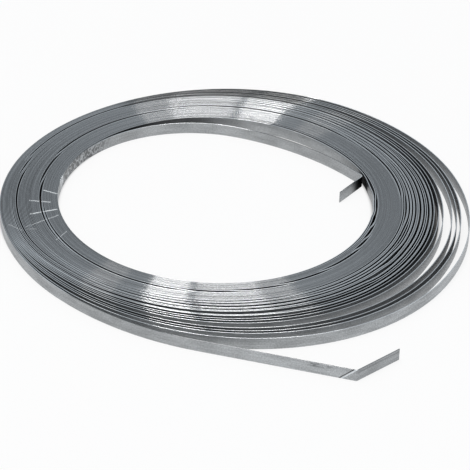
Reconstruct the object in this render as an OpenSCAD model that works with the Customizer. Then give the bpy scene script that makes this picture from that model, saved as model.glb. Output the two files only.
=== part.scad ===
// Flat coil of stainless steel strip, lying on one end.
// The strip stands on its edge. The inner turns are wound tight and are one turned pack, whose
// ends show the turns. The outer turns have sprung off the pack on one side, and the strip's two
// ends are bent: a tail in front of the coil and a short tab in the bore.
// Millimetres, +Z up, origin at the middle of the coil's outline, on the floor.

/* [Strip] */
// Width of the strip, which is the height of the coil
strip_w = 10; // [6:0.5:25]
// Thickness of the strip
strip_t = 0.7; // [0.5:0.05:1]
// Air between two turns that lie tight
turn_air = 0.1; // [0.1:0.05:0.3]
// Inside radius of a sharp bend in the strip
bend_r = 2; // [1:0.5:5]

/* [Wound pack] */
// Diameter of the bore
bore_d = 254; // [220:1:300]
// Turns wound tight
tight_turns = 36; // [20:1:50]
// Width of the groove between two turns, at the rounded edges of the strip
groove_w = 0.3; // [0.2:0.05:0.4]
// Depth of that groove
groove_depth = 0.4; // [0.2:0.1:0.8]

/* [Loose turns] */
// Direction, from +X, in which the outer turns have sprung off the pack
slack_dir = -33; // [-45:1:-20]
// Turns that have only eased off the pack
eased_turns = 10; // [2:1:14]
// Air between the eased turns on the slack side
eased_air = 1.5; // [1:0.1:2]
// Mean air between the sprung turns on the slack side
sprung_air = 4.8; // [3:0.1:6]

/* [Outer end] */
// Air between the last quarter turn and the turn before it, where the tail leaves
tail_air = 1.4; // [0.4:0.1:3]
// How much flatter than that quarter turn the curve is in which the tail leaves, as a radius
tail_flatter = 15; // [5:1:100]
// Angle of that curve
tail_curve_angle = 17; // [10:1:25]
// Straight length of the tail up to its bend
tail_l = 145; // [80:1:160]
// Angle of the bend, back towards the coil
tail_bend = 59; // [40:1:90]
// Straight length after the bend
tail_end_l = 43; // [20:1:60]

/* [Inner end] */
// Direction, from +X, in which the innermost turn leaves the bore's wall
inner_dir = 137; // [120:1:150]
// How much tighter than the bore the curve is in which it leaves, as a radius
inner_tighter = 37; // [30:1:45]
// Angle of that curve
inner_leave_angle = 40; // [35:1:45]
// How much flatter than the bore the long run across its back is, as a radius
inner_flatter = 30; // [20:1:40]
// Angle of that run
inner_run_angle = 67; // [50:1:68]
// Angle of the bend at the end of the run, into the bore
tab_bend = 68; // [45:1:90]
// Straight length of the tab
tab_l = 27; // [10:1:40]

/* [Hidden] */
$fn = 180;
steel = "#9a9fa1";
// Share of the mean air that each sprung turn has, from the inside out
sprung_share = [0.9, 0.7, 1.6, 0.8, 0.6, 1.4];
// Finest step of a size that places a turn
grid = 0.02;
// Largest angle and smallest number of the flats along a curved end of the strip
flat_angle = 3;
flat_count = 6;

function on_grid(x) = round(x / grid) * grid;
function total(list, count) = count == 0 ? 0 : list[count - 1] + total(list, count - 1);

bore_r = bore_d / 2;
pitch = strip_t + turn_air;
pack_r = on_grid(bore_r + tight_turns * pitch - turn_air);
bend_mid_r = bend_r + strip_t / 2;
// Depth to which both ends of the strip start inside the pack
seat = strip_t / 2;

// Air inside each loose turn on the slack side, the eased turns first
slack_air = concat([for (i = [1 : eased_turns]) eased_air], sprung_share * sprung_air);
loose_turns = len(slack_air);
// Distance from the bore's axis to the middle of loose turn k, on the tight and the slack side
first_r = pack_r - strip_t / 2;
function tight_reach(k) = on_grid(k == 0 ? first_r - seat : first_r + k * pitch);
function slack_reach(k) = on_grid(first_r + k * strip_t + total(slack_air, k));
function front_r(k) = (tight_reach(k - 1) + slack_reach(k)) / 2;
function back_r(k) = (slack_reach(k) + tight_reach(k)) / 2;
last_tight = tight_reach(loose_turns);
last_r = back_r(loose_turns);

// The coil is worked out with its slack side along +X, and turned by slack_dir at the end.
// A run of strip is a start [x, y, heading] and steps: [radius, angle] for an arc, where a
// positive angle turns left, and [0, length] for a straight
function step_end(p, s, part = 1) =
    s[0] == 0
        ? [p[0] + part * s[1] * cos(p[2]), p[1] + part * s[1] * sin(p[2]), p[2]]
        : let (side = sign(s[1]), turned = p[2] + part * s[1])
          [p[0] + side * s[0] * (sin(turned) - sin(p[2])),
           p[1] - side * s[0] * (cos(turned) - cos(p[2])),
           turned];
function flats(s) = s[0] == 0 ? 1 : max(flat_count, ceil(abs(s[1]) / flat_angle));
function pose_after(p, steps, count) =
    count == 0 ? p : step_end(pose_after(p, steps, count - 1), steps[count - 1]);
function run_poses(start, steps) = concat([start], [
    for (i = [0 : len(steps) - 1])
        let (p = pose_after(start, steps, i), n = flats(steps[i]))
            for (j = [1 : n]) step_end(p, steps[i], j / n)]);
function beside(p, offset) = [p[0] - offset * sin(p[2]), p[1] + offset * cos(p[2])];

// The last quarter turn ends at the tail's start, and the tail goes on from it
tail_turn_r = on_grid(front_r(loose_turns) + strip_t + tail_air);
tail_off = tail_turn_r - last_tight;
tail_start = [tail_off, -tail_turn_r, 0];
tail_steps = [
    [tail_turn_r + tail_flatter, tail_curve_angle],
    [0, tail_l],
    [bend_mid_r, tail_bend],
    [0, tail_end_l]];

inner_start_r = bore_r + strip_t / 2 + seat;
inner_from = inner_dir - slack_dir;
inner_start = [inner_start_r * cos(inner_from), inner_start_r * sin(inner_from), inner_from - 90];
inner_steps = [
    [bore_r - inner_tighter, -inner_leave_angle],
    [bore_r + inner_flatter, -inner_run_angle],
    [bend_mid_r, -tab_bend],
    [0, tab_l]];

// Outline of the coil: the last half turn gives its right and back, the last quarter turn its
// left, and the bend of the tail its front
function turned_y(p) = p[0] * sin(slack_dir) + p[1] * cos(slack_dir);
last_off = last_r - last_tight;
right_x = last_off * cos(slack_dir) + last_r + strip_t / 2;
back_y = last_off * sin(slack_dir) + last_r + strip_t / 2;
left_x = tail_off * cos(slack_dir) - tail_turn_r - strip_t / 2;
front_y = min([for (p = run_poses(tail_start, tail_steps)) turned_y(beside(p, -strip_t / 2))]);
middle = [(left_x + right_x) / 2, (front_y + back_y) / 2, 0];

// Part of a turn, from an angle and over an angle about a point on the slack line
module turn_part(centre_x, r, from, angle) {
    translate([centre_x, 0, 0])
        rotate(from)
            rotate_extrude(angle = angle)
                translate([r - strip_t / 2, 0])
                    square([strip_t, strip_w]);
}

// A curved or bent end of the strip, standing on its edge
module strip_run(start, steps) {
    poses = run_poses(start, steps);
    last = len(poses) - 1;
    linear_extrude(strip_w)
        polygon(concat(
            [for (p = poses) beside(p, -strip_t / 2)],
            [for (i = [last : -1 : 0]) beside(poses[i], strip_t / 2)]));
}

// Section of the pack, with a groove on both ends where two turns meet. The first two and the
// last two turns share a land, because the strip's inner and outer runs leave from there.
module pack_section() {
    grooves = [for (k = [2 : tight_turns - 2]) bore_r + k * pitch - turn_air / 2];
    half = groove_w / 2;
    under = [for (x = grooves) each [
        [x - half, 0], [x - half, groove_depth], [x + half, groove_depth], [x + half, 0]]];
    polygon(concat(
        [[bore_r, 0]], under, [[pack_r, 0], [pack_r, strip_w]],
        [for (i = [len(under) - 1 : -1 : 0]) [under[i][0], strip_w - under[i][1]]],
        [[bore_r, strip_w]]));
}

// The turns outside the pack, each two half circles that meet on the slack line, and the tail
module loose_run() {
    for (k = [1 : loose_turns]) {
        turn_part(front_r(k) - tight_reach(k - 1), front_r(k), 180, 180);
        turn_part(back_r(k) - tight_reach(k), back_r(k), 0, 180);
    }
    turn_part(tail_off, tail_turn_r, 180, 90);
    strip_run(tail_start, tail_steps);
}

module strip_coil() {
    color(steel)
        translate(-middle)
            rotate(slack_dir) {
                rotate_extrude()
                    pack_section();
                loose_run();
                strip_run(inner_start, inner_steps);
            }
}

strip_coil();
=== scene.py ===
"""A loose flat coil of stainless steel strip: the wound strip, its steel and a plain white stage."""

import itertools
import math
from typing import NamedTuple

import bpy
from mathutils import Matrix, Vector


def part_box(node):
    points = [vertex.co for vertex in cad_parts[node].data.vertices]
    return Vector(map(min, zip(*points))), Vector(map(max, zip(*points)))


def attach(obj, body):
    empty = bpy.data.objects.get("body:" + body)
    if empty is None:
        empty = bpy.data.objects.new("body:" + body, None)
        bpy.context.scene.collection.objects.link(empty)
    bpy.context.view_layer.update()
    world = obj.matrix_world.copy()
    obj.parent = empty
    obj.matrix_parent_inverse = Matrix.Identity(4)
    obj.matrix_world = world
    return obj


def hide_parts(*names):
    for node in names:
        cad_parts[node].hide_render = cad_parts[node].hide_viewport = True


bl_info = {
    "name": "Stainless Strip Coil",
    "version": (1, 0, 0),
    "blender": (4, 5, 0),
    "location": "3D View > Sidebar > Strip",
    "description": "Winds a flat coil of stainless steel strip and sets it on a plain stage",
    "category": "Object",
}

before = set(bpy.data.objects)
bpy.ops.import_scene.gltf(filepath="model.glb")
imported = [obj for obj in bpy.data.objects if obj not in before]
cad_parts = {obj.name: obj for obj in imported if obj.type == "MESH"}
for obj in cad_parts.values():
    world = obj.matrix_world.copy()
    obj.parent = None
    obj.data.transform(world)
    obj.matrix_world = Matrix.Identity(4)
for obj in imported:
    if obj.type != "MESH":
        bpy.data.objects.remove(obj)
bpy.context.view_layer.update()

NODE = "strip_coil"
BODY = "root"
MM = 0.001

COIL_LOW, COIL_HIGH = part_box(NODE)
# From the bore's axis to the left and the back of the coil's outline
LEFT_REACH = 172.2 * MM
BACK_REACH = 178.1 * MM
BORE_X = COIL_LOW.x + LEFT_REACH
BORE_Y = COIL_HIGH.y - BACK_REACH


class Zone(NamedTuple):
    """A stretch of the way round: its direction and reach in degrees, and how much of it is full."""

    direction: float
    reach: float
    full: float = 0.4


class Ring(NamedTuple):
    """A dark ring of air in the pack, with shares of the way round from the tight side."""

    # How many turns it passes at a time, and the shares between which it shows
    count: int
    first: float
    last: float
    # Shares of the way round, each with the turn that it passes there and its air there
    path: tuple


class Shade(NamedTuple):
    """How dark a point's faces and shoulders are, towards the bore and away from it, and its glint."""

    faces: tuple
    shoulders: tuple
    glint: float


class Noise(NamedTuple):
    """Noise stretched along the strip: its scale per metre along it and across it, and its detail."""

    along: float
    across: float
    detail: float


# Turns from the bore out: how many, and the air that each has more on the slack side
SLACK_GROUPS = (
    (1, 0.0), (1, 0.6 * MM), (1, 0.2 * MM), (25, 0.05 * MM),
    (1, 0.15 * MM), (1, 1.0 * MM), (2, 0.12 * MM), (1, 1.3 * MM), (1, 0.15 * MM), (1, 1.2 * MM),
    (1, 0.15 * MM), (1, 1.4 * MM), (2, 0.15 * MM), (1, 1.9 * MM), (1, 0.2 * MM), (1, 1.5 * MM),
    (1, 0.9 * MM), (1, 1.9 * MM), (1, 0.2 * MM), (1, 1.9 * MM),
)
# The same for each of the sprung turns outside them
SPRUNG_AIR = (2.6 * MM, 3.5 * MM, 7.6 * MM, 3.8 * MM, 3.1 * MM, 7.5 * MM)
# The turns between which the air is even on the left
EVEN_FIRST, EVEN_LAST = 27, 51
EVEN_ZONE = Zone(183, 47)
# Where the eased turns, up to a last one, keep together in bundles, and the turns of a bundle
BUNDLE_LAST = 46
BUNDLES = ((Zone(58, 42), 3), (Zone(268, 38), 3))
# How the slack is spread round a turn: its mean share, and the share and lead angle of each wave
SLACK_MEAN = 0.447
SLACK_WAVES = ((0.4725, math.radians(2.7)), (0.0531, math.radians(11.6)), (0.0421, math.radians(21.8)))
# Where the innermost turns have come off the bore's wall, and how far each has come off there
INNER_SLACK = (
    (Zone(52, 62, 0.0), (2.4 * MM, 1.0 * MM, 0.3 * MM)),
    (Zone(11, 10, 0.0), (1.3 * MM,)),
    (Zone(358, 10, 0.0), (1.5 * MM, 1.4 * MM)),
)
# The air of the tight turns: how uneven it is, the rate and lead of its change from turn to turn, and
# the angle by which the uneven places move round with each turn
AIR_UNEVEN = 0.6
AIR_RATE, AIR_LEAD, AIR_TWIST = 2.4, 0.9, 1.7
RINGS = (
    Ring(3, -1.0, 2.0, (
        (0.0, 45.0, 1.0 * MM), (0.03, 44.9, 1.0 * MM), (0.07, 39.6, 1.0 * MM), (0.2, 40.5, 1.0 * MM),
        (0.27, 41.2, 1.0 * MM), (0.34, 41.9, 1.6 * MM), (0.45, 43.0, 1.5 * MM), (0.52, 34.5, 1.0 * MM),
        (0.61, 28.0, 1.2 * MM), (0.76, 24.2, 1.7 * MM), (1.0, 21.0, 1.6 * MM))),
    Ring(2, -1.0, 0.72, (
        (0.0, 22.0, 1.6 * MM), (0.12, 17.2, 1.6 * MM), (0.29, 16.2, 1.6 * MM), (0.42, 10.5, 1.7 * MM),
        (0.5, 7.2, 1.8 * MM), (0.58, 0.0, 1.8 * MM))),
    Ring(1, 0.5, 2.0, ((0.5, 46.0, 1.0 * MM), (1.0, 44.0, 1.0 * MM))),
)
# The share of the way round over which a ring fades in or out, and the share of its turns that it
# takes to pass from some to the next
RING_FADE = 0.1
RING_STEP = 0.32
# The share of the last quarter turn after which it opens towards the tail
TAIL_OPENS = 0.62
# Waves by which the strip's edge stands up, as rate and lead, and the steps on the whole strip that
# they are counted in
LIFT_WAVES = ((2.1, 0.0), (3.7, 1.3), (0.6, 0.4))
LIFT_STEPS = 60
# Waves along the strip by which its grain turns, as rate and lead, and how far
GRAIN_WAVES = ((7.3, 0.0), (11.9, 1.0))
GRAIN_TURN = math.radians(0.4)

# Gaps between which a face goes from dark to lit, towards the bore and away from it, and how lit
FACES_LIT = ((0.8 * MM, 3.2 * MM), (1.5 * MM, 5.0 * MM))
FACE_LIGHT = 0.9
# Gaps between which a rounded shoulder goes dark and clears again, how dark, and how much of that it
# loses on a turn that stands alone
SHOULDER_DARKENS = (0.2 * MM, 0.55 * MM)
SHOULDER_CLEARS = (1.5 * MM, 4.0 * MM)
SHOULDER_DARK = 0.75
SHOULDER_ALONE = 0.6
# Gaps between which an edge gets its glint, a highlight painted into the steel's colour, and where it is
# brighter and by how much
GLINT_GAPS = (0.2 * MM, 0.5 * MM)
BRIGHT_ZONES = ((Zone(335, 60), 0.5), (Zone(50, 32), 0.5), (Zone(226, 36), 0.5))
# Where light falls between the outer turns, the turns over which that sets in, and the glint it adds
SIDE_LIGHT = Zone(190, 50)
SIDE_LIGHT_TURNS = (42, 45)
SIDE_LIGHT_GLINT = 0.1
# Where the edges of the outer turns at the back get painted shade, as if they leaned out of the light, the
# turns over which that sets in, and the glint of their edges there
BACK_EDGE_SHADE = Zone(93, 28, 0.85)
BACK_EDGE_SHADE_TURNS = (43.0, 44.5)
BACK_EDGE_SHADE_GLINT = -0.45
# Directions in degrees between which the shade behind the inner run sets in
RUN_SHADE_FROM = (45, 65)
# Gaps behind the inner run between which it goes dark, goes grey by a share and clears
RUN_DARKENS = (0.0, 0.5 * MM)
RUN_GREYS = (2.5 * MM, 6 * MM)
RUN_GREY = 0.3
RUN_CLEARS = (8 * MM, 16 * MM)
# Distances from the tab's bend between which the shade in that corner and the bend's own glint fade
CORNER_SHADE = (6 * MM, 14 * MM)
BEND_SHINE = (3 * MM, 9 * MM)
# Glint of the edges of the inner run, of the tab's bend and of the tail: a painted highlight where it is
# positive and painted shade where it is negative
RUN_GLINT = -0.4
RUN_BRIGHT, RUN_BRIGHT_GLINT = Zone(110, 38, 0.8), 1.7
RUN_DIM, RUN_DIM_GLINT = Zone(56, 20), -0.6
BEND_GLINT = 2.0
TAIL_GLINT = -0.5
# Shares of the thickness, from its middle, at which an edge's shoulder and the face begin
SHOULDER_FROM = 0.2
FACE_FROM = 0.45
# Weight of the wide faces when the normals are set
FACE_WEIGHT = 80

# Ranges that a noise is stretched from, its middle, and how a mask fades
NOISE_WIDE, NOISE_MID, NOISE_NARROW = (0.25, 0.75), (0.3, 0.7), (0.35, 0.65)
NOISE_MIDDLE = 0.5
FADE_IN, FADE_OUT = (0.0, 1.0), (1.0, 0.0)
# A quarter turn, which lays the grain along the strip
GRAIN_ROTATION = 0.25
# Upward tilts of the surface between which a face becomes an edge
EDGE_TILT = (0.2, 0.6)
# Grain and clouds on the faces, and what differs from one turn to the next
GRAIN_NOISE, GRAIN_TONES = Noise(25, 2500, 3), (0.87, 1.17)
CLOUD_NOISE, CLOUD_TONES = Noise(45, 130, 4), (0.9, 1.1)
TURN_NOISE, TURN_TONES, TURN_ROUGHNESS = Noise(3.3, 0, 1), (0.8, 1.12), (0.85, 1.15)
# Fine specks, and how strong they are on an edge and how much stronger on a face
SPECK_NOISE = Noise(900, 900, 1)
SPECK_EDGE, SPECK_FACE = 0.25, 0.45
# How much brighter a full glint is and how much darker a dark gap
GLINT_TONE = 0.8
GAP_DARK = 0.97
# Roughness deep in a gap, and the power that keeps it to the darkest places
GAP_ROUGHNESS = 0.95
GAP_POWER = 3.0

# The crease before the tail's bend: its slant, and where along the strip lie its painted highlight line,
# its line of painted shade and its far side, which is painted darker
CREASE_SLANT = 1.12
CREASE_HIGHLIGHT, CREASE_HIGHLIGHT_FADE = 0.4 * MM, (0.6 * MM, 1.1 * MM)
CREASE_SHADE_AT, CREASE_SHADE_FADE = -1.6 * MM, (0.35 * MM, 0.8 * MM)
CREASE_PAST = (-0.4 * MM, 0.6 * MM)
# How dark the crease's line of painted shade and the painted shade past the crease are
CREASE_SHADE_DARK = 0.8
PAST_CREASE_SHADE = 0.12
# The darker patch before the tail's bend: how far before it, its reach, its height and half its height as
# shares of the width, and its mask
DARK_PATCH_BEFORE, DARK_PATCH_REACH = 29 * MM, 13 * MM
DARK_PATCH_UP, DARK_PATCH_HIGH = 0.78, 0.25
DARK_PATCH_NOISE, DARK_PATCH_TONES = Noise(260, 420, 3), (0.08, 0.62)
# The faint line along the tail's end: its height as a share of the width, where it starts after the
# bend, how it fades and its mask
END_LINE_UP = 0.75
END_LINE_FROM = 2 * MM
END_LINE_FADE = (0.2 * MM, 0.8 * MM)
END_LINE_TONES = (0.3, 0.0)
# How dark the darker patch and that line are where their mask is full
MARKS_DARK = 1.0
# Length of strip from the tab to the end of the innermost turn
WALL_RUN = 1.05
# The crinkled patch on the bore's wall and the lump beside it: angle in degrees, radius and depth
# below the top in millimetres, reach
WALL_PLACE, WALL_REACH = (156, 127, 0), 58 * MM
LUMP_PLACE, LUMP_REACH = (171, 127.3, 3), 9 * MM
PATCH_FULL = 0.4
WALL_DARK = 0.6
WALL_CRINKLED = 0.5
LUMP_TONES = (0.4, 1.0)
CRINKLE_SCALE, CRINKLE_DETAIL, CRINKLE_WIDTH = 210, 2, 0.08
# Scuffs on the top: start angle and radius, end angle and radius, half width, strength
SCUFFS = (
    (180.0, 138.5, 182.0, 128.0, 0.8, 0.9),
    (186.2, 150.0, 187.6, 133.5, 0.75, 0.9),
    (192.6, 129.5, 194.0, 151.0, 0.85, 1.0),
    (196.6, 130.0, 200.6, 159.0, 0.7, 0.6),
    (198.2, 171.0, 202.2, 163.0, 0.7, 0.5),
    (201.8, 159.0, 202.6, 152.0, 0.7, 0.45),
    (207.5, 131.0, 210.7, 143.5, 0.6, 0.5),
)
# How ragged a scuff is, and how soon it is full
SCUFF_SCALE = 900
SCUFF_RAGGED = 2.0
SCUFF_FULL = 2.0
SCUFF_COLOUR = (0.82, 0.85, 0.87, 1)

IMAGE_SIDE = 470
FOCAL_PIXELS = 3000
SENSOR = 36
PIXELS_PER_MM = 1.24
# Where the camera's axis meets the floor, from the bore's axis, and the picture's row that it shows in
AIM_X, AIM_Y = 16.98 * MM, -11.48 * MM
AIM_ROW = 215

FLOOR_SIZE = 12
# How white the floor shows by itself, and the share of light on it that shows
FLOOR_GLOW = 0.82
FLOOR_SHADED = 0.16
# Painted shadow on the floor that the coil covers, where the floor's glow is taken away: outside the bore
# and inside the outline, each as a circle's place from the bore's axis, its radius and the side that is
# covered, and how far that fades in and out
UNDER_COIL_SHADOW = ((0, 0, 127 * MM, 1), (3.5 * MM, -3 * MM, 178 * MM, -1))
COVER_IN, COVER_OUT = 2 * MM, 3 * MM

# Panel lamps over the coil: left and right edge in the middle of their length, strength
LAMPS = (
    ("lamp_side", -3.6, -2.0, 1.3),
    ("lamp_left", -1.22, -0.4, 7.5),
    ("lamp_middle", -0.28, 0.87, 5.0),
    ("lamp_right", 0.87, 1.66, 2.1),
)
LAMP_COLOUR = (1.0, 0.968, 0.945, 1)
LAMP_HEIGHT = 3.2
# Their near end, the middle of their length, their far end, and where their edges would meet
LAMP_NEAR, LAMP_MIDDLE, LAMP_END, LAMP_FAR = -1.0, -0.25, 0.5, 2.25
# Grey of the light all round, at the horizon and overhead
HORIZON_GREY = (0.41, 0.44, 0.47, 1)
OVERHEAD_GREY = (0.53, 0.56, 0.59, 1)


def length_size(name, description, default):
    """A property that is a length."""
    return bpy.props.FloatProperty(name=name, description=description, default=default, unit="LENGTH")


def angle_size(name, description, degrees):
    """A property that is an angle, with its default in degrees."""
    return bpy.props.FloatProperty(
        name=name, description=description, default=math.radians(degrees), subtype="ANGLE")


class StripSizes(bpy.types.PropertyGroup):
    """Sizes of the strip and of the way it is wound"""

    width: length_size("Width", "Width of the strip, the height of the coil", COIL_HIGH.z - COIL_LOW.z)
    thickness: length_size("Thickness", "Thickness of the strip", 0.7 * MM)
    edge_round: length_size("Edge rounding", "How far the slit edges are rounded", 0.28 * MM)
    bore: length_size("Bore", "Diameter of the bore", 254 * MM)
    tight_air: length_size("Tight air", "Air between two turns that lie tight", 0.026 * MM)
    edge_lift: length_size("Edge lift", "Most that a turn stands above the others", 0.25 * MM)
    slack_direction: angle_size(
        "Slack direction", "Direction, from +X, in which the turns have sprung", -33)
    tail_air: length_size("Tail air", "Air between the last quarter turn and the turn before it", 1.2 * MM)
    tail_leave: angle_size(
        "Tail leaves", "Angle round from the tight side at which the tail leaves the coil", 86)
    tail_curve: length_size(
        "Tail curve", "Radius of the curve in which the tail leaves the coil", 232.8 * MM)
    tail_curve_angle: angle_size("Tail curve angle", "Angle of that curve", 30.1)
    tail_length: length_size("Tail length", "Straight length of the tail up to its bend", 123.3 * MM)
    tail_bend: angle_size("Tail bend", "Angle of the bend in the tail", 58)
    tail_end: length_size("Tail end", "Straight length after the bend", 43 * MM)
    bend_radius: length_size("Bend radius", "Radius at the middle of the bend in the tail", 1.6 * MM)
    inner_direction: angle_size(
        "Inner direction", "Direction in which the innermost turn leaves the bore's wall", 158)
    inner_leave: length_size(
        "Inner curve", "Radius of the curve in which the innermost turn leaves", 109.7 * MM)
    inner_leave_angle: angle_size("Inner curve angle", "Angle of that curve", 85)
    inner_run: length_size("Inner run", "Radius of the flat run across the back of the bore", 207.8 * MM)
    inner_run_angle: angle_size("Inner run angle", "Angle of that run", 18)
    inner_close: length_size(
        "Inner close", "Radius of the curve from that run to the bend of the tab", 220 * MM)
    inner_close_angle: angle_size("Inner close angle", "Angle of that curve", 15.9)
    tab_bend: angle_size("Tab bend", "Angle of the bend at the inner end", 74.1)
    tab_bend_radius: length_size("Tab bend radius", "Radius at the middle of that bend", 2.4 * MM)
    tab_length: length_size("Tab length", "Straight length of the inner tab", 31 * MM)


class SteelFinish(bpy.types.PropertyGroup):
    """Finish of the steel"""

    colour: bpy.props.FloatVectorProperty(
        name="Steel", description="Colour of the rolled steel", default=(0.45, 0.465, 0.475),
        size=3, subtype="COLOR", min=0, max=1)
    roughness: bpy.props.FloatProperty(
        name="Roughness", description="Roughness of the rolled faces", default=0.34, subtype="FACTOR")
    edge_roughness: bpy.props.FloatProperty(
        name="Edge roughness", description="Roughness of the slit edges", default=0.17, subtype="FACTOR")
    grain: bpy.props.FloatProperty(
        name="Grain", description="How much rougher the steel is across its grain",
        default=1.0, subtype="FACTOR")


class StageLook(bpy.types.PropertyGroup):
    """The floor and the camera"""

    floor_colour: bpy.props.FloatVectorProperty(
        name="Floor", description="Colour of the floor", default=(1.0, 1.0, 1.0),
        size=3, subtype="COLOR", min=0, max=1)
    camera_elevation: angle_size("Elevation", "Angle at which the camera looks down", 32)
    camera_roll: angle_size("Roll", "Turn of the camera about its view", 2)


class Pen:
    """Draws a line of arcs and straights on the plan, as points no further apart than a step."""

    ARC_STEP = math.radians(2.5)
    BEND_STEPS = 8
    LINE_STEP = 6 * MM

    def __init__(self, place, heading):
        self.place = Vector(place)
        self.heading = heading
        self.points = [self.place.copy()]

    def arc(self, radius, angle):
        """Turn left by an angle, or right where it is negative."""
        side = math.copysign(1, angle)
        across = Vector((-math.sin(self.heading), math.cos(self.heading))) * side
        centre = self.place + across * radius
        count = max(self.BEND_STEPS, round(abs(angle) / self.ARC_STEP))
        spoke = self.place - centre
        for i in range(1, count + 1):
            self.points.append(centre + Matrix.Rotation(angle * i / count, 2) @ spoke)
        self.place = self.points[-1].copy()
        self.heading += angle

    def line(self, length):
        """Go straight on."""
        ahead = polar(self.heading, 1.0)
        count = max(1, math.ceil(length / self.LINE_STEP))
        start = self.place.copy()
        for i in range(1, count + 1):
            self.points.append(start + ahead * (length * i / count))
        self.place = self.points[-1].copy()


def polar(angle, radius):
    """A point on the plan, from its angle and its distance from the bore's axis."""
    return Vector((math.cos(angle), math.sin(angle))) * radius


def smooth_step(x, low, high):
    """From 0 at the low end to 1 at the high end, level at both."""
    share = min(1.0, max(0.0, (x - low) / (high - low)))
    return share * share * (3 - 2 * share)


def wave_sum(x, waves):
    """Waves added up, each with its rate and its lead."""
    return sum(math.sin(x * rate + lead) for rate, lead in waves)


def in_zone(sizes, angle, zone):
    """1 in the middle of a zone and 0 outside it, for an angle from the slack direction."""
    off = math.remainder(angle + sizes.slack_direction - math.radians(zone.direction), math.tau)
    reach = math.radians(zone.reach)
    return 1 - smooth_step(abs(off), reach * zone.full, reach)


def slack_share(angle):
    """Share of its slack that a turn shows at an angle from the slack direction."""
    waves = sum(size * math.cos(n * (angle + lead)) for n, (size, lead) in enumerate(SLACK_WAVES, 1))
    return SLACK_MEAN + waves


def even_slack(slacks, turn):
    """The slack of a turn where the air of the outer turns is even."""
    if not EVEN_FIRST < turn < EVEN_LAST:
        return slacks[turn]
    part = (turn - EVEN_FIRST) / (EVEN_LAST - EVEN_FIRST)
    return slacks[EVEN_FIRST] + (slacks[EVEN_LAST] - slacks[EVEN_FIRST]) * part


def bundled_slack(slacks, turn, count):
    """The slack of a turn where the eased turns keep together in bundles."""
    if not EVEN_FIRST < turn < BUNDLE_LAST:
        return slacks[turn]
    return slacks[turn - turn % count]


def slack_at(sizes, slacks, turn, angle):
    """The slack of a turn at an angle: its own, or evened or bundled with its neighbours'."""
    own = slacks[turn]
    slack = own + (even_slack(slacks, turn) - own) * in_zone(sizes, angle, EVEN_ZONE)
    for zone, count in BUNDLES:
        slack += (bundled_slack(slacks, turn, count) - own) * in_zone(sizes, angle, zone)
    return slack


def tight_air(sizes, turn, share):
    """Air outside a turn of the pack, at a share of the way round from the tight side."""
    wave = math.sin(turn * AIR_RATE + AIR_LEAD) * math.sin(math.tau * share + turn * AIR_TWIST)
    return sizes.tight_air * (1 + AIR_UNEVEN * wave)


def ring_place(path, share):
    """The turn that a ring passes at a share of the way round, and its air there."""
    for (share0, turn0, air0), (share1, turn1, air1) in zip(path, path[1:]):
        if share <= share1:
            part = (share - share0) / (share1 - share0)
            return turn0 + (turn1 - turn0) * part, air0 + (air1 - air0) * part
    # Past the end of its path a ring lies inside the turn where that ends
    return path[-1][1] - 1, path[-1][2]


def ring_shift(turn, share):
    """How far the rings of air inside a turn have pushed it out."""
    shift = 0.0
    for ring in RINGS:
        shown = smooth_step(share, ring.first, ring.first + RING_FADE)
        shown *= 1 - smooth_step(share, ring.last - RING_FADE, ring.last)
        passed, air = ring_place(ring.path, share)
        beyond = turn // ring.count + 0.5 - passed / ring.count
        shift += air * shown * smooth_step(beyond, -RING_STEP, RING_STEP)
    return shift


def inner_slack(sizes, turn, angle):
    """How far an innermost turn has come off the wall at an angle from the slack direction."""
    return sum(
        shifts[turn] * in_zone(sizes, angle, zone)
        for zone, shifts in INNER_SLACK if turn < len(shifts))


def wound_radii(sizes):
    """Radius of the strip's middle line, turn by turn, in steps from the tight side round to it again."""
    slack_airs = [air for count, air in SLACK_GROUPS for _ in range(count)] + list(SPRUNG_AIR)
    slacks = list(itertools.accumulate(slack_airs))
    steps = round(math.tau / Pen.ARC_STEP)
    grown = [sizes.bore / 2 + sizes.thickness / 2] * (steps + 1)
    radii = []
    for turn in range(len(slacks)):
        growth = [sizes.thickness + tight_air(sizes, turn, i / steps) for i in range(steps + 1)]
        for i in range(steps):
            angle = math.tau * i / steps - math.pi
            loose = slack_at(sizes, slacks, turn, angle) * slack_share(angle)
            moved = loose + ring_shift(turn, i / steps) - inner_slack(sizes, turn, angle)
            radii.append(grown[i] + growth[i] * i / steps + moved)
        grown = [r + g for r, g in zip(grown, growth)]
    for i in range(round(sizes.tail_leave / Pen.ARC_STEP) + 1):
        opened = smooth_step(Pen.ARC_STEP * i, sizes.tail_leave * TAIL_OPENS, sizes.tail_leave)
        radii.append(radii[-steps] + sizes.thickness + sizes.tight_air + sizes.tail_air * opened)
    return radii, steps


def inner_end(sizes, from_slack, first_r):
    """Points of the inner end from the bore's wall to the tip of the tab, and the corner of its bend."""
    pen = Pen(polar(from_slack, first_r), from_slack - math.pi / 2)
    pen.arc(sizes.inner_leave, -sizes.inner_leave_angle)
    pen.arc(sizes.inner_run, -sizes.inner_run_angle)
    pen.arc(sizes.inner_close, -sizes.inner_close_angle)
    pen.arc(sizes.tab_bend_radius, -sizes.tab_bend)
    corner = pen.place.copy()
    pen.line(sizes.tab_length)
    return pen.points, corner


def outer_end(sizes, wound):
    """Points of the tail, after the last wound point."""
    ahead = wound[-1] - wound[-2]
    pen = Pen(wound[-1], math.atan2(ahead.y, ahead.x))
    pen.arc(sizes.tail_curve, sizes.tail_curve_angle)
    pen.line(sizes.tail_length)
    pen.arc(sizes.bend_radius, sizes.tail_bend)
    pen.line(sizes.tail_end)
    return pen.points[1:]


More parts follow.
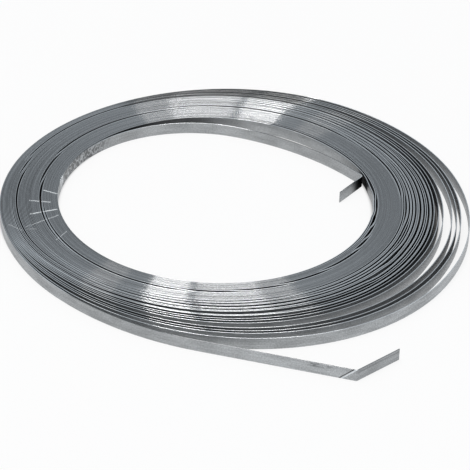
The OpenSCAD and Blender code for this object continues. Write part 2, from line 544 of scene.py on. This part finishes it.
def strip_plan(sizes):
    """Points of the strip's middle line, tab to tail, with the slack side along +X, and their shades."""
    radii, steps = wound_radii(sizes)
    wound = [polar(math.pi + math.tau * i / steps, r) for i, r in enumerate(radii)]
    from_slack = sizes.inner_direction - sizes.slack_direction
    inner, corner = inner_end(sizes, from_slack, radii[0])
    run = inner[::-1]
    skipped = math.ceil((from_slack - math.pi) / Pen.ARC_STEP)
    tail = outer_end(sizes, wound)
    shades = run_shades(sizes, run, corner, radii[0])
    shades += gaps_shades(sizes, radii, steps)[skipped:]
    shades += [Shade((0.0, 0.0), (0.0, 0.0), TAIL_GLINT)] * len(tail)
    shade_wall(sizes, shades, run, wound[skipped:steps], corner)
    return run + wound[skipped:] + tail, shades


def face_shade(gap, narrow, wide):
    """How dark a face is for the air beside it: lit only beside a wide gap."""
    return 1 - FACE_LIGHT * smooth_step(gap, narrow, wide)


def shoulder_shade(gap):
    """How dark the rounded shoulder of an edge is for the air beside it."""
    return SHOULDER_DARK * smooth_step(gap, *SHOULDER_DARKENS) * (1 - smooth_step(gap, *SHOULDER_CLEARS))


def gap_glint(gap):
    """How bright the painted highlight on an edge is for the air beside it: none in the tight pack."""
    return smooth_step(gap, *GLINT_GAPS)


def back_glint(sizes, turn, angle):
    """Painted shade on the edges of the outer turns at the back: how much less light they show, as if they
    leaned.
    """
    return BACK_EDGE_SHADE_GLINT * in_zone(sizes, angle, BACK_EDGE_SHADE) * smooth_step(turn, *BACK_EDGE_SHADE_TURNS)


def bright_light(sizes, angle):
    """How bright the painted highlight on the edges beside a gap is at an angle."""
    return 1 + sum(more * in_zone(sizes, angle, zone) for zone, more in BRIGHT_ZONES)


def shade_kept(sizes, turn, angle):
    """How much of their shade the turns keep at an angle: light comes in between the outer ones."""
    return 1 - in_zone(sizes, angle, SIDE_LIGHT) * smooth_step(turn, *SIDE_LIGHT_TURNS)


def gaps_shades(sizes, radii, steps):
    """The shade of each wound point, from the air inside it and outside it."""
    shades = []
    for i, r in enumerate(radii):
        turn = i / steps
        angle = math.tau * i / steps - math.pi
        kept = shade_kept(sizes, turn, angle)
        inside = r - radii[i - steps] - sizes.thickness if i >= steps else None
        outside = radii[i + steps] - r - sizes.thickness if i + steps < len(radii) else None
        sides = (inside, outside)
        glints = [gap_glint(gap) for gap in sides if gap is not None]
        alone = 1 - SHOULDER_ALONE * min(glints)
        faces = tuple(
            0.0 if gap is None else face_shade(gap, *lit) * kept
            for gap, lit in zip(sides, FACES_LIT))
        shoulders = tuple(0.0 if gap is None else shoulder_shade(gap) * kept * alone for gap in sides)
        # Painted shade on the outer edges at the back, in place of their glint
        back_dim = back_glint(sizes, turn, angle)
        glint = bright_light(sizes, angle) * max(glints) + SIDE_LIGHT_GLINT * (1 - kept)
        shades.append(Shade(faces, shoulders, back_dim if back_dim < 0 else glint))
    return shades


def run_shade(sizes, inner_r, wall_r):
    """How dark the inner run and the wall behind it are, where they lie close."""
    gap = wall_r - inner_r - sizes.thickness
    dark = 1 - RUN_GREY * smooth_step(gap, *RUN_GREYS)
    return dark * smooth_step(gap, *RUN_DARKENS) * (1 - smooth_step(gap, *RUN_CLEARS))


def corner_shade(point, corner):
    """How dark a point is in the corner between the tab and the wall."""
    return 1 - smooth_step((point - corner).length, *CORNER_SHADE)


def run_shades(sizes, run, corner, first_r):
    """The shade of each point of the inner end, from the tip of the tab to the bore's wall."""
    shades = []
    for p in run:
        on_tab = (p - run[0]).length < sizes.tab_length
        outside = corner_shade(p, corner) if on_tab else run_shade(sizes, p.length, first_r)
        glint = RUN_GLINT + BEND_GLINT * (1 - smooth_step((p - corner).length, *BEND_SHINE))
        if not on_tab:
            angle = math.atan2(p.y, p.x)
            glint += RUN_BRIGHT_GLINT * in_zone(sizes, angle, RUN_BRIGHT)
            glint += RUN_DIM_GLINT * in_zone(sizes, angle, RUN_DIM)
        shades.append(Shade((0.0, outside), (0.0, 0.0), glint))
    return shades


def shade_wall(sizes, shades, run, wall, corner):
    """Darkens the wall where the inner run lies close before it, and behind the tab."""
    shade_from = [math.radians(direction) for direction in RUN_SHADE_FROM]
    places = [(math.atan2(p.y, p.x), p.length) for p in run]
    for i, point in enumerate(wall, len(run)):
        angle = math.atan2(point.y, point.x)
        off, inner_r = min((abs(math.remainder(angle - a, math.tau)), r) for a, r in places)
        dark = run_shade(sizes, inner_r, point.length) if off < Pen.ARC_STEP else 0.0
        dark *= smooth_step(angle + sizes.slack_direction, *shade_from)
        outside = shades[i].faces[1]
        shades[i] = shades[i]._replace(faces=(max(dark, corner_shade(point, corner)), outside))


def edge_lift(sizes, along, total):
    """How far the strip stands up at a point along it: each turn a little otherwise, never sunk."""
    wave = wave_sum(along / total * LIFT_STEPS, LIFT_WAVES) / len(LIFT_WAVES)
    return sizes.edge_lift * max(0.0, wave) ** 2


def place_in_bore(sizes, plan):
    """The plan's points turned and set about the bore's axis at mid height, and how far along each is."""
    turn = Matrix.Rotation(sizes.slack_direction, 2)
    runs = [0.0]
    for a, b in zip(plan, plan[1:]):
        runs.append(runs[-1] + (b - a).length)
    placed = []
    for p, along in zip(plan, runs):
        q = turn @ p
        lift = edge_lift(sizes, along, runs[-1])
        placed.append(Vector((q.x + BORE_X, q.y + BORE_Y, sizes.width / 2 + lift)))
    return placed, runs


def deselect():
    """Nothing selected, in object mode."""
    if bpy.context.object and bpy.context.object.mode != "OBJECT":
        bpy.ops.object.mode_set(mode="OBJECT")
    bpy.ops.object.select_all(action="DESELECT")


def select_only(thing):
    """One object selected and active."""
    deselect()
    thing.select_set(True)
    bpy.context.view_layer.objects.active = thing


def add_section(sizes):
    """The strip's section as a closed curve: a plane of its size with rounded corners."""
    deselect()
    bpy.ops.mesh.primitive_plane_add(size=1)
    section = bpy.context.object
    section.scale = (sizes.thickness, sizes.width, 1)
    bpy.ops.object.transform_apply(scale=True)
    bpy.ops.object.mode_set(mode="EDIT")
    bpy.ops.mesh.select_all(action="SELECT")
    bpy.ops.mesh.bevel(offset=sizes.edge_round, segments=2, affect="VERTICES")
    bpy.ops.mesh.delete(type="ONLY_FACE")
    bpy.ops.object.mode_set(mode="OBJECT")
    bpy.ops.object.convert(target="CURVE")
    return bpy.context.object


def add_strip(sizes):
    """The strip swept along its plan, as one mesh, and its length."""
    plan, shades = strip_plan(sizes)
    points, runs = place_in_bore(sizes, plan)
    section = add_section(sizes)
    deselect()
    bpy.ops.curve.primitive_bezier_curve_add()
    strip = bpy.context.object
    strip.name = "wound_strip"
    path = strip.data
    path.splines.clear()
    spline = path.splines.new("POLY")
    spline.points.add(len(points) - 1)
    spline.points.foreach_set("co", [x for p in points for x in (*p, 1.0)])
    path.dimensions = "3D"
    path.twist_mode = "Z_UP"
    path.bevel_mode = "OBJECT"
    path.bevel_object = section
    bpy.ops.object.convert(target="MESH")
    strip = bpy.context.object
    bpy.data.objects.remove(section)
    mark_strip(strip.data, sizes, points, runs, shades)
    return strip, runs[-1]


def mark_strip(mesh, sizes, points, runs, shades):
    """Keeps with each point how far along the strip it lies, its heading, and its painted shade and glint.
    """
    ring, rest = divmod(len(mesh.vertices), len(points))
    if rest or not ring:
        raise RuntimeError("The swept strip has no whole ring of vertices for each point of its plan")
    ahead = [(b - a).normalized() for a, b in zip(points[:1] + points[:-1], points[1:] + points[-1:])]
    grain = [Matrix.Rotation(grain_turn(r), 3, "Z") @ d for d, r in zip(ahead, runs)]
    heading = mesh.attributes.new("strip_heading", "FLOAT_VECTOR", "POINT")
    heading.data.foreach_set("vector", [x for d in grain for _ in range(ring) for x in d])
    dark, bright = [], []
    for i, (point, d, shade) in enumerate(zip(points, ahead, shades)):
        for vertex in mesh.vertices[i * ring:(i + 1) * ring]:
            off = vertex.co - point
            out = off.x * d.y - off.y * d.x
            side = 1 if out > 0 else 0
            on_face = abs(out) > sizes.thickness * FACE_FROM
            on_shoulder = abs(out) > sizes.thickness * SHOULDER_FROM
            beside = shade.faces if on_face else shade.shoulders
            dark.append(beside[side] if on_shoulder else 0.0)
            bright.append(0.0 if on_face else shade.glint)
    along = [r for r in runs for _ in range(ring)]
    for name, values in (("strip_run", along), ("strip_shade", dark), ("strip_glint", bright)):
        mesh.attributes.new(name, "FLOAT", "POINT").data.foreach_set("value", values)


def grain_turn(along):
    """Small turn of the grain, which differs from one turn of the coil to the next."""
    return GRAIN_TURN * wave_sum(along, GRAIN_WAVES)


def close_ends(strip):
    """Closes the strip at its two cut ends."""
    select_only(strip)
    bpy.ops.object.mode_set(mode="EDIT")
    bpy.ops.mesh.select_all(action="SELECT")
    bpy.ops.mesh.fill_holes(sides=0)
    bpy.ops.mesh.select_all(action="SELECT")
    bpy.ops.mesh.normals_make_consistent(inside=False)
    bpy.ops.object.mode_set(mode="OBJECT")


def smooth_faces(strip):
    """Smooth edges and flat faces: the wide faces set the direction of the light on them."""
    select_only(strip)
    bpy.ops.object.shade_smooth()
    weighted = strip.modifiers.new("flat_faces", "WEIGHTED_NORMAL")
    weighted.weight = FACE_WEIGHT
    bpy.ops.object.modifier_apply(modifier=weighted.name)


def new_node(tree, kind, **settings):
    """A node of a kind, with its settings."""
    node = tree.nodes.new(kind)
    for name, value in settings.items():
        setattr(node, name, value)
    return node


def math_node(tree, operation, a, b=0.0, clamp=False):
    """The result of a math operation on two values, each a socket or a number."""
    node = new_node(tree, "ShaderNodeMath", operation=operation, use_clamp=clamp)
    for socket, value in zip(node.inputs, (a, b)):
        if isinstance(value, (int, float)):
            socket.default_value = value
        else:
            tree.links.new(value, socket)
    return node.outputs[0]


def plus(tree, a, b):
    """Two values added."""
    return math_node(tree, "ADD", a, b)


def minus(tree, a, b):
    """One value less another."""
    return math_node(tree, "SUBTRACT", a, b)


def times(tree, a, b):
    """Two values multiplied."""
    return math_node(tree, "MULTIPLY", a, b)


def larger(tree, a, b):
    """The larger of two values."""
    return math_node(tree, "MAXIMUM", a, b)


def apart(tree, value, place):
    """How far a value is from a place, to either side."""
    return math_node(tree, "ABSOLUTE", minus(tree, value, place))


def darken(tree, tone, mask, share):
    """A tone made darker by a share where a mask is full."""
    return times(tree, tone, minus(tree, 1.0, times(tree, mask, share)))


def map_range(tree, value, source, target):
    """A value carried smoothly from one range to another."""
    node = new_node(tree, "ShaderNodeMapRange", interpolation_type="SMOOTHSTEP")
    tree.links.new(value, node.inputs["Value"])
    for name, number in zip(("From Min", "From Max", "To Min", "To Max"), (*source, *target)):
        node.inputs[name].default_value = number
    return node.outputs["Result"]


def mix_values(tree, factor, a, b):
    """From one value to another by a factor, each a socket or a number."""
    node = new_node(tree, "ShaderNodeMix", data_type="FLOAT")
    tree.links.new(factor, node.inputs["Factor"])
    for name, value in (("A", a), ("B", b)):
        if isinstance(value, float):
            node.inputs[name].default_value = value
        else:
            tree.links.new(value, node.inputs[name])
    return node.outputs["Result"]


def object_place(tree):
    """The place on the object, as a socket."""
    return new_node(tree, "ShaderNodeTexCoord").outputs["Object"]


def distance(tree, place, centre):
    """How far a place is from a fixed point."""
    away = new_node(tree, "ShaderNodeVectorMath", operation="DISTANCE")
    tree.links.new(place, away.inputs[0])
    away.inputs[1].default_value = centre
    return away.outputs["Value"]


def attribute(tree, name):
    """A value that the strip's mesh keeps with its points."""
    return new_node(tree, "ShaderNodeAttribute", attribute_name=name).outputs["Fac"]


class StripPlace(NamedTuple):
    """Sockets for a place on the strip: how far along it, how high, and on a face or on an edge."""

    run: bpy.types.NodeSocket
    height: bpy.types.NodeSocket
    on_face: bpy.types.NodeSocket
    on_edge: bpy.types.NodeSocket


def strip_place(tree):
    """The place on the strip that a material shows."""
    place = new_node(tree, "ShaderNodeSeparateXYZ")
    tree.links.new(object_place(tree), place.inputs[0])
    facing = new_node(tree, "ShaderNodeSeparateXYZ")
    tree.links.new(new_node(tree, "ShaderNodeNewGeometry").outputs["Normal"], facing.inputs[0])
    upright = math_node(tree, "ABSOLUTE", facing.outputs["Z"])
    on_edge = map_range(tree, upright, EDGE_TILT, FADE_IN)
    return StripPlace(attribute(tree, "strip_run"), place.outputs["Z"], minus(tree, 1.0, on_edge), on_edge)


def run_noise(tree, at, noise):
    """Noise that is stretched along the strip."""
    place = new_node(tree, "ShaderNodeCombineXYZ")
    tree.links.new(times(tree, at.run, noise.along), place.inputs["X"])
    tree.links.new(times(tree, at.height, noise.across), place.inputs["Y"])
    texture = new_node(tree, "ShaderNodeTexNoise", noise_dimensions="2D")
    texture.inputs["Scale"].default_value = 1.0
    texture.inputs["Detail"].default_value = noise.detail
    tree.links.new(place.outputs["Vector"], texture.inputs["Vector"])
    return texture.outputs["Fac"]


def scuff_group():
    """A node group: a thin straight mark between two points, as a mask."""
    tree = bpy.data.node_groups.new("Scuff", "ShaderNodeTree")
    tree.interface.new_socket("Start", in_out="INPUT", socket_type="NodeSocketVector")
    tree.interface.new_socket("End", in_out="INPUT", socket_type="NodeSocketVector")
    tree.interface.new_socket("Width", in_out="INPUT", socket_type="NodeSocketFloat")
    tree.interface.new_socket("Mask", in_out="OUTPUT", socket_type="NodeSocketFloat")
    given = new_node(tree, "NodeGroupInput").outputs
    out = new_node(tree, "NodeGroupOutput")
    place = object_place(tree)
    links = tree.links

    def vector(operation, a, b):
        node = new_node(tree, "ShaderNodeVectorMath", operation=operation)
        links.new(a, node.inputs[0])
        links.new(b, node.inputs[1])
        return node.outputs

    line = vector("SUBTRACT", given["End"], given["Start"])["Vector"]
    off = vector("SUBTRACT", place, given["Start"])["Vector"]
    dot = vector("DOT_PRODUCT", off, line)["Value"]
    square = vector("DOT_PRODUCT", line, line)["Value"]
    nearest = new_node(tree, "ShaderNodeVectorMath", operation="SCALE")
    links.new(line, nearest.inputs[0])
    links.new(math_node(tree, "DIVIDE", dot, square, clamp=True), nearest.inputs["Scale"])
    gap = vector("DISTANCE", off, nearest.outputs["Vector"])["Value"]
    rough = new_node(tree, "ShaderNodeTexNoise")
    rough.inputs["Scale"].default_value = SCUFF_SCALE
    links.new(place, rough.inputs["Vector"])
    reach = times(tree, given["Width"], times(tree, rough.outputs["Fac"], SCUFF_RAGGED))
    mask = minus(tree, 1.0, math_node(tree, "DIVIDE", gap, reach))
    links.new(math_node(tree, "MULTIPLY", mask, SCUFF_FULL, clamp=True), out.inputs["Mask"])
    return tree


def top_place(angle, radius, below=0.0):
    """A point on the top or below it, from an angle in degrees and lengths in millimetres."""
    flat = polar(math.radians(angle), radius * MM)
    return (BORE_X + flat.x, BORE_Y + flat.y, COIL_HIGH.z - below * MM)


def scuffs(tree):
    """Mask of all the scuffs."""
    group = scuff_group()
    total = 0.0
    for angle0, r0, angle1, r1, width, strength in SCUFFS:
        node = new_node(tree, "ShaderNodeGroup", node_tree=group)
        node.inputs["Start"].default_value = top_place(angle0, r0)
        node.inputs["End"].default_value = top_place(angle1, r1)
        node.inputs["Width"].default_value = width * MM
        total = larger(tree, total, times(tree, node.outputs["Mask"], strength))
    return total


def bend_run(sizes, length):
    """How far along the strip the bend of the tail starts."""
    return length - sizes.tail_end - sizes.bend_radius * sizes.tail_bend


def crease(tree, at, sizes, length):
    """The slanting crease before the tail's bend: masks of its painted highlight line, its line of painted
    shade and the painted shade past it.
    """
    slant = times(tree, minus(tree, sizes.width, at.height), CREASE_SLANT)
    past = plus(tree, minus(tree, at.run, bend_run(sizes, length)), slant)
    line = map_range(tree, apart(tree, past, CREASE_HIGHLIGHT), CREASE_HIGHLIGHT_FADE, FADE_OUT)
    crease_shade = map_range(tree, apart(tree, past, CREASE_SHADE_AT), CREASE_SHADE_FADE, FADE_OUT)
    return line, crease_shade, map_range(tree, past, CREASE_PAST, FADE_IN)


def tail_marks(tree, at, sizes, length):
    """Mask of the soft darker patch before the tail's bend and of the faint line along its end."""
    bend = bend_run(sizes, length)
    along = math_node(tree, "DIVIDE", minus(tree, at.run, bend - DARK_PATCH_BEFORE), DARK_PATCH_REACH)
    above = minus(tree, at.height, DARK_PATCH_UP * sizes.width)
    up = math_node(tree, "DIVIDE", above, DARK_PATCH_HIGH * sizes.width)
    away = plus(tree, math_node(tree, "POWER", along, 2.0), math_node(tree, "POWER", up, 2.0))
    blot = map_range(tree, run_noise(tree, at, DARK_PATCH_NOISE), NOISE_NARROW, DARK_PATCH_TONES)
    dark_patch = times(tree, map_range(tree, away, (0.0, 1.0), FADE_OUT), blot)
    off = apart(tree, at.height, END_LINE_UP * sizes.width)
    on_end = math_node(tree, "GREATER_THAN", at.run, bend + END_LINE_FROM)
    return larger(tree, dark_patch, times(tree, map_range(tree, off, END_LINE_FADE, END_LINE_TONES), on_end))


def patch(tree, at, place, reach):
    """Mask of a soft round patch on the innermost turn."""
    away = distance(tree, object_place(tree), top_place(*place))
    spot = map_range(tree, away, (reach * PATCH_FULL, reach), FADE_OUT)
    return times(tree, spot, math_node(tree, "LESS_THAN", at.run, WALL_RUN))


def crinkles(tree):
    """Mask of thin light crinkles."""
    wrinkle = new_node(tree, "ShaderNodeTexNoise")
    wrinkle.inputs["Scale"].default_value = CRINKLE_SCALE
    wrinkle.inputs["Detail"].default_value = CRINKLE_DETAIL
    tree.links.new(object_place(tree), wrinkle.inputs["Vector"])
    ridge = apart(tree, wrinkle.outputs["Fac"], NOISE_MIDDLE)
    return map_range(tree, ridge, (0.0, CRINKLE_WIDTH), FADE_OUT)


def wall_wear(tree, at, wall):
    """Mask of the light crinkles on the bore's wall and on the lump beside them."""
    light = crinkles(tree)
    faint = times(tree, times(tree, wall, WALL_CRINKLED), light)
    lump = patch(tree, at, LUMP_PLACE, LUMP_REACH)
    return larger(tree, faint, times(tree, lump, map_range(tree, light, (0.0, 1.0), LUMP_TONES)))


def rolled_tone(tree, at, turn_noise):
    """How light the rolled steel is: grain and clouds on its faces, painted glints on its edges, and
    specks.
    """
    grain = map_range(tree, run_noise(tree, at, GRAIN_NOISE), NOISE_WIDE, GRAIN_TONES)
    cloud = map_range(tree, run_noise(tree, at, CLOUD_NOISE), NOISE_MID, CLOUD_TONES)
    on_face = times(tree, minus(tree, times(tree, grain, cloud), 1.0), at.on_face)
    tone = times(tree, plus(tree, on_face, 1.0), map_range(tree, turn_noise, NOISE_MID, TURN_TONES))
    # The glint is a painted highlight: it lightens the steel's colour on the edges
    glint = plus(tree, times(tree, attribute(tree, "strip_glint"), GLINT_TONE), 1.0)
    speck = minus(tree, run_noise(tree, at, SPECK_NOISE), NOISE_MIDDLE)
    strength = plus(tree, times(tree, at.on_face, SPECK_FACE), SPECK_EDGE)
    return times(tree, times(tree, tone, glint), plus(tree, times(tree, speck, strength), 1.0))


def steel_roughness(tree, finish, at, turn_noise, gap_dark):
    """Roughness of the faces and the edges, which differs from turn to turn, and deep in a gap."""
    plain = mix_values(tree, at.on_edge, finish.roughness, finish.edge_roughness)
    varied = times(tree, plain, map_range(tree, turn_noise, NOISE_MID, TURN_ROUGHNESS))
    return mix_values(tree, math_node(tree, "POWER", gap_dark, GAP_POWER), varied, GAP_ROUGHNESS)


def rolled_steel(finish, sizes, length):
    """Rolled steel whose grain runs along the strip, with painted shade between the turns and painted
    glints on the edges, scuffed on top.
    """
    material = bpy.data.materials.new("rolled_steel")
    material.use_nodes = True
    tree = material.node_tree
    links = tree.links
    shader = tree.nodes["Principled BSDF"]
    shader.inputs["Anisotropic"].default_value = finish.grain
    shader.inputs["Anisotropic Rotation"].default_value = GRAIN_ROTATION
    heading = new_node(tree, "ShaderNodeAttribute", attribute_name="strip_heading")
    links.new(heading.outputs["Vector"], shader.inputs["Tangent"])

    at = strip_place(tree)
    # Painted shade between the turns, laid into the steel's colour
    gap_dark = attribute(tree, "strip_shade")
    turn_noise = run_noise(tree, at, TURN_NOISE)
    # The crease gets a painted highlight line, a line of painted shade beside it and painted shade past it
    line, crease_shade, past = crease(tree, at, sizes, length)
    wall = times(tree, patch(tree, at, WALL_PLACE, WALL_REACH), at.on_face)
    marks = tail_marks(tree, at, sizes, length)
    tone = rolled_tone(tree, at, turn_noise)
    masks = (gap_dark, crease_shade, past, wall, marks)
    for mask, share in zip(masks, (GAP_DARK, CREASE_SHADE_DARK, PAST_CREASE_SHADE, WALL_DARK, MARKS_DARK)):
        tone = darken(tree, tone, mask, share)
    steel = new_node(tree, "ShaderNodeVectorMath", operation="SCALE")
    steel.inputs[0].default_value = finish.colour
    links.new(math_node(tree, "MINIMUM", tone, 1 / max(finish.colour)), steel.inputs["Scale"])

    # Scuffs and the wall's crinkles are wear; the crease's line among them is a painted highlight, shown
    # in the same white
    wear_and_highlight = larger(tree, scuffs(tree), larger(tree, wall_wear(tree, at, wall), line))
    colour = new_node(tree, "ShaderNodeMix", data_type="RGBA")
    links.new(wear_and_highlight, colour.inputs["Factor"])
    links.new(steel.outputs["Vector"], colour.inputs["A"])
    colour.inputs["B"].default_value = SCUFF_COLOUR
    links.new(colour.outputs["Result"], shader.inputs["Base Color"])
    links.new(minus(tree, 1.0, wear_and_highlight), shader.inputs["Metallic"])
    links.new(steel_roughness(tree, finish, at, turn_noise, gap_dark), shader.inputs["Roughness"])
    return material


class OBJECT_OT_wind_strip(bpy.types.Operator):
    """Wind the strip, with its bent tail and tab, and give it its steel"""

    bl_idname = "strip_coil.wind_strip"
    bl_label = "Wind Strip"

    def execute(self, context):
        sizes = context.scene.strip_sizes
        strip, length = add_strip(sizes)
        close_ends(strip)
        smooth_faces(strip)
        strip.data.materials.clear()
        strip.data.materials.append(rolled_steel(context.scene.strip_steel, sizes, length))
        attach(strip, BODY)
        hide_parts(NODE)
        return {"FINISHED"}


def add_camera(look):
    """A long lens at the photograph's angle."""
    data = bpy.data.cameras.new("view")
    data.sensor_width = SENSOR
    data.lens = FOCAL_PIXELS * SENSOR / IMAGE_SIDE
    camera = bpy.data.objects.new("view", data)
    bpy.context.scene.collection.objects.link(camera)
    far = FOCAL_PIXELS / PIXELS_PER_MM * MM
    elevation = look.camera_elevation
    aim = Vector((BORE_X + AIM_X, BORE_Y + AIM_Y, 0))
    place = aim + Vector((0, -math.cos(elevation), math.sin(elevation))) * far
    down = math.atan((IMAGE_SIDE / 2 - AIM_ROW) / FOCAL_PIXELS)
    tilt = math.pi / 2 - elevation - down
    camera.matrix_world = (
        Matrix.Translation(place)
        @ Matrix.Rotation(tilt, 4, "X")
        @ Matrix.Rotation(look.camera_roll, 4, "Z"))
    bpy.context.scene.camera = camera


def bare_material(name):
    """A material with nothing in it but its output, its node tree and the output's socket."""
    material = bpy.data.materials.new(name)
    material.use_nodes = True
    tree = material.node_tree
    tree.nodes.clear()
    return material, tree, new_node(tree, "ShaderNodeOutputMaterial").inputs["Surface"]


def painted_floor_shadow(tree):
    """Mask of the floor that the coil covers, where the floor's glow is taken away as painted shadow."""
    place = new_node(tree, "ShaderNodeNewGeometry").outputs["Position"]
    shadowed = 1.0
    for x, y, radius, side in UNDER_COIL_SHADOW:
        away = distance(tree, place, (BORE_X + x, BORE_Y + y, 0))
        fade = (radius - COVER_IN * side, radius + COVER_OUT * side)
        shadowed = times(tree, shadowed, map_range(tree, away, fade, FADE_IN))
    return shadowed


def white_floor(look):
    """A floor that shows white, with a faint shadow and a painted shadow under the coil, and lights the
    steel as a matt white floor does.
    """
    material, tree, surface = bare_material("white_floor")
    links = tree.links
    matt = new_node(tree, "ShaderNodeBsdfDiffuse")
    matt.inputs["Color"].default_value = (*look.floor_colour, 1)
    faint = new_node(tree, "ShaderNodeBsdfDiffuse")
    faint.inputs["Color"].default_value = (*(FLOOR_SHADED * c for c in look.floor_colour), 1)
    glow = new_node(tree, "ShaderNodeEmission")
    glow.inputs["Color"].default_value = (*look.floor_colour, 1)
    # Painted shadow: the floor's glow is taken away under the coil
    links.new(times(tree, minus(tree, 1.0, painted_floor_shadow(tree)), FLOOR_GLOW), glow.inputs["Strength"])
    shown = new_node(tree, "ShaderNodeAddShader")
    links.new(faint.outputs[0], shown.inputs[0])
    links.new(glow.outputs[0], shown.inputs[1])
    ray = new_node(tree, "ShaderNodeLightPath").outputs
    seen = larger(tree, ray["Is Camera Ray"], ray["Is Glossy Ray"])
    mix = new_node(tree, "ShaderNodeMixShader")
    links.new(larger(tree, seen, ray["Is Transmission Ray"]), mix.inputs["Fac"])
    links.new(matt.outputs[0], mix.inputs[1])
    links.new(shown.outputs[0], mix.inputs[2])
    links.new(mix.outputs[0], surface)
    return material


def add_floor(look):
    """A wide flat floor."""
    deselect()
    bpy.ops.mesh.primitive_plane_add(size=FLOOR_SIZE)
    floor = bpy.context.object
    floor.name = "floor"
    floor.data.materials.append(white_floor(look))


def lamp_light(name, strength):
    """Even white light of a strength."""
    material, tree, surface = bare_material(name)
    glow = new_node(tree, "ShaderNodeEmission")
    glow.inputs["Color"].default_value = LAMP_COLOUR
    glow.inputs["Strength"].default_value = strength
    tree.links.new(glow.outputs[0], surface)
    return material


def add_lamps():
    """Panels whose edges run together towards the back, so that they end sharply on the steel."""
    for name, left, right, strength in LAMPS:
        deselect()
        bpy.ops.mesh.primitive_plane_add(size=1)
        panel = bpy.context.object
        panel.name = name
        for vertex in panel.data.vertices:
            x = left if vertex.co.x < 0 else right
            y = LAMP_NEAR if vertex.co.y < 0 else LAMP_END
            narrow = (LAMP_FAR - y) / (LAMP_FAR - LAMP_MIDDLE)
            vertex.co = (BORE_X + x * narrow, BORE_Y + y, LAMP_HEIGHT)
        panel.data.flip_normals()
        panel.data.materials.append(lamp_light(name, strength))
        panel.visible_camera = False


def add_world():
    """Soft grey light all round, darker towards the horizon."""
    world = bpy.data.worlds.new("studio")
    bpy.context.scene.world = world
    world.use_nodes = True
    tree = world.node_tree
    split = new_node(tree, "ShaderNodeSeparateXYZ")
    tree.links.new(new_node(tree, "ShaderNodeTexCoord").outputs["Generated"], split.inputs[0])
    ramp = new_node(tree, "ShaderNodeValToRGB")
    for element, grey in zip(ramp.color_ramp.elements, (HORIZON_GREY, OVERHEAD_GREY)):
        element.color = grey
    tree.links.new(split.outputs["Z"], ramp.inputs["Fac"])
    tree.links.new(ramp.outputs["Color"], tree.nodes["Background"].inputs["Color"])


class SCENE_OT_set_stage(bpy.types.Operator):
    """Lay the white floor, hang the lamps and place the camera"""

    bl_idname = "strip_coil.set_stage"
    bl_label = "Set Stage"

    def execute(self, context):
        look = context.scene.strip_stage
        add_floor(look)
        add_lamps()
        add_world()
        add_camera(look)
        context.scene.view_settings.view_transform = "Standard"
        return {"FINISHED"}


class VIEW3D_PT_strip_coil(bpy.types.Panel):
    """The strip coil's sizes, finish and stage"""

    bl_idname = "VIEW3D_PT_strip_coil"
    bl_label = "Strip Coil"
    bl_space_type = "VIEW_3D"
    bl_region_type = "UI"
    bl_category = "Strip"

    def draw(self, context):
        layout = self.layout
        for group in (context.scene.strip_sizes, context.scene.strip_steel, context.scene.strip_stage):
            box = layout.box()
            for name in group.__annotations__:
                box.prop(group, name)
        layout.operator(OBJECT_OT_wind_strip.bl_idname)
        layout.operator(SCENE_OT_set_stage.bl_idname)


CLASSES = (
    StripSizes, SteelFinish, StageLook,
    OBJECT_OT_wind_strip, SCENE_OT_set_stage, VIEW3D_PT_strip_coil,
)


def register():
    """Registers the classes and puts their settings on the scene."""
    for cls in CLASSES:
        bpy.utils.register_class(cls)
    bpy.types.Scene.strip_sizes = bpy.props.PointerProperty(type=StripSizes)
    bpy.types.Scene.strip_steel = bpy.props.PointerProperty(type=SteelFinish)
    bpy.types.Scene.strip_stage = bpy.props.PointerProperty(type=StageLook)


def unregister():
    """Takes the settings off the scene and unregisters the classes."""
    del bpy.types.Scene.strip_stage
    del bpy.types.Scene.strip_steel
    del bpy.types.Scene.strip_sizes
    for cls in reversed(CLASSES):
        bpy.utils.unregister_class(cls)


def main():
    """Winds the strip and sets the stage."""
    register()
    bpy.ops.strip_coil.wind_strip()
    bpy.ops.strip_coil.set_stage()


if __name__ == "__main__":
    main()
